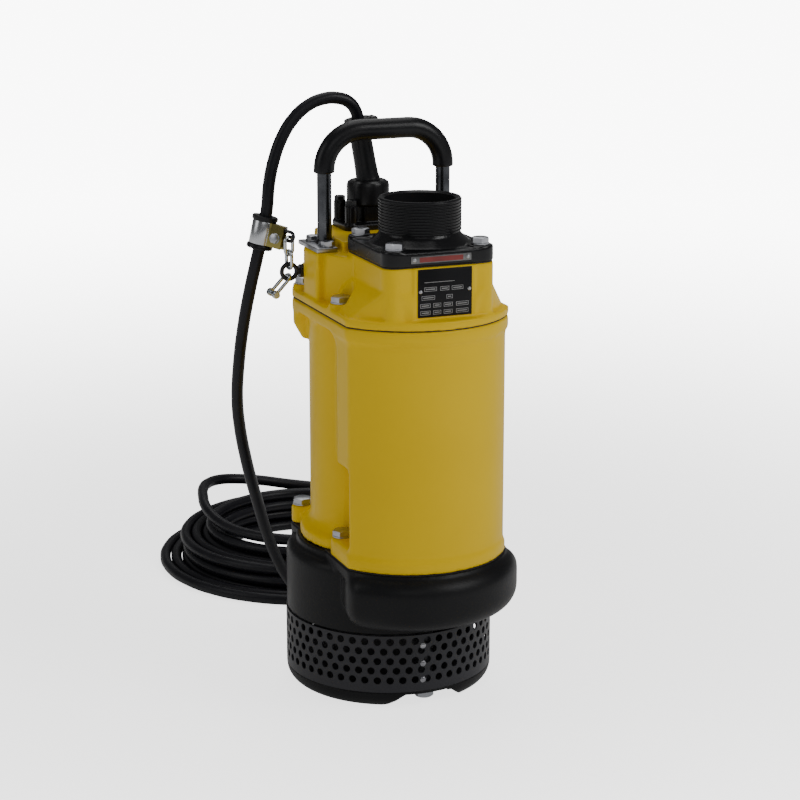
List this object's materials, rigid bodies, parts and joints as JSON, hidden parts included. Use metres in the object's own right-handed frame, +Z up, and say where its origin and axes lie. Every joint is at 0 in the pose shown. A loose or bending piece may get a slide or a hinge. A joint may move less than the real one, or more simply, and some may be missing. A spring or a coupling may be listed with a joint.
{
  "type": "submersible pump",
  "caption": "Submersible contractor's pump with bottom strainer, motor frame, threaded discharge port, lifting handle, clamped supply cable and its coil on the floor",
  "frame": {"origin": "on the shaft axis, on the floor that the strainer's feet stand on", "axes": "+Z up along the shaft, +X along the handle bar to the right of the nameplate, -Y towards the nameplate and discharge port, +Y towards the cable entry"},
  "size_m": [0.4154, 0.811, 0.6644],
  "materials": {
    "yellow_paint": "satin paint on a casting",
    "black_paint": "black paint on a casting",
    "dark_steel": "dark coated steel",
    "zinc_steel": "zinc plated steel",
    "handle_steel": "zinc plated bar, slightly dull",
    "clamp_steel": "zinc and chromate plated strip",
    "rubber": "moulded rubber",
    "cable_rubber": "rubber sheath, soft sheen",
    "core_insulation": "core insulation",
    "gasket": "gasket",
    "nameplate_black": "blank plate",
    "strip_red": "blank strip",
    "inner_iron": "machined casting",
    "steel": "ground steel",
    "laminations": "stacked steel sheets",
    "copper": "varnished copper wire",
    "protector_plastic": "plain case",
    "seal_carbide": "lapped rings",
    "impeller_iron": "bare casting",
    "bronze": "plain"
  },
  "bodies": {
    "pump": {"strainer_base": "black_paint", "strainer_screen": "dark_steel", "stay_bolts": "zinc_steel", "stay_tubes": "dark_steel", "suction_cover": "black_paint", "pump_casing": "black_paint", "casing_gasket": "gasket", "oil_casing": "inner_iron", "oil_casing_lid": "inner_iron", "oil_plug": "steel", "motor_frame": "yellow_paint", "frame_bolts": "zinc_steel", "top_cover": "yellow_paint", "cover_gasket": "gasket", "cover_bolts": "zinc_steel", "discharge_flange": "black_paint", "flange_gasket": "gasket", "flange_bolts": "zinc_steel", "flange_strip": "strip_red", "nameplate": "nameplate_black", "rivets": "zinc_steel", "lift_handle": "handle_steel", "handle_grip": "rubber", "handle_bolts": "zinc_steel", "gland_body": "black_paint", "gland_bolts": "zinc_steel", "gland_cap": "black_paint", "gland_bush": "rubber", "cable_boot": "rubber", "boot_clip": "dark_steel", "inner_cable": "cable_rubber", "supply_cable": "cable_rubber", "cable_coil": "cable_rubber", "cable_tail": "cable_rubber", "cable_cores": "core_insulation", "clamp_sleeve": "rubber", "clamp_band": "clamp_steel", "clamp_bolt": "zinc_steel", "chain_hook": "dark_steel", "eye_bolt": "dark_steel", "stator_core": "laminations", "end_windings": "copper", "motor_protector": "protector_plastic", "upper_bracket": "inner_iron", "bearing_outer_rings": "steel", "seal_seats": "seal_carbide"},
    "rotor": {"rotor_core": "laminations", "motor_shaft": "steel", "bearing_inner_rings": "steel", "seal_faces": "seal_carbide", "seal_spring": "steel", "impeller": "impeller_iron", "impeller_nut": "bronze"},
    "upper_ball_set": {"upper_balls": "steel"},
    "lower_ball_set": {"lower_balls": "steel"},
    "upper_link": {"chain_link_upper": "handle_steel"},
    "lower_link": {"chain_link_lower": "handle_steel"},
    "shackle": {"shackle_bow": "handle_steel", "shackle_pin": "handle_steel"}
  },
  "joints": [
    {"name": "rotor_spin", "type": "hinge", "parent": "pump", "child": "rotor", "pos_m": [0, 0, 0.3], "axis": [0, 0, 1], "continuous": true},
    {"name": "upper_balls_spin", "type": "hinge", "parent": "pump", "child": "upper_ball_set", "pos_m": [0, 0, 0.4055], "axis": [0, 0, 1], "continuous": true},
    {"name": "lower_balls_spin", "type": "hinge", "parent": "pump", "child": "lower_ball_set", "pos_m": [0, 0, 0.214], "axis": [0, 0, 1], "continuous": true},
    {"name": "upper_link_swing", "type": "hinge", "parent": "pump", "child": "upper_link", "pos_m": [-0.1043, 0.0316, 0.5068], "axis": [0.5774, -0.8165, 0], "range_deg": [-1.2, 1.2]},
    {"name": "lower_link_swing", "type": "hinge", "parent": "upper_link", "child": "lower_link", "pos_m": [-0.1043, 0.0316, 0.4918], "axis": [0.917, 0.399, 0], "range_deg": [-1.5, 1.5]},
    {"name": "shackle_swing", "type": "hinge", "parent": "pump", "child": "shackle", "pos_m": [-0.1044, 0.0316, 0.4693], "axis": [0, 1, 0], "range_deg": [-46, 30]}
  ],
  "couplings": [
    {"joint": "upper_balls_spin", "follows": "rotor_spin", "ratio": 0.401},
    {"joint": "lower_balls_spin", "follows": "rotor_spin", "ratio": 0.403}
  ]
}
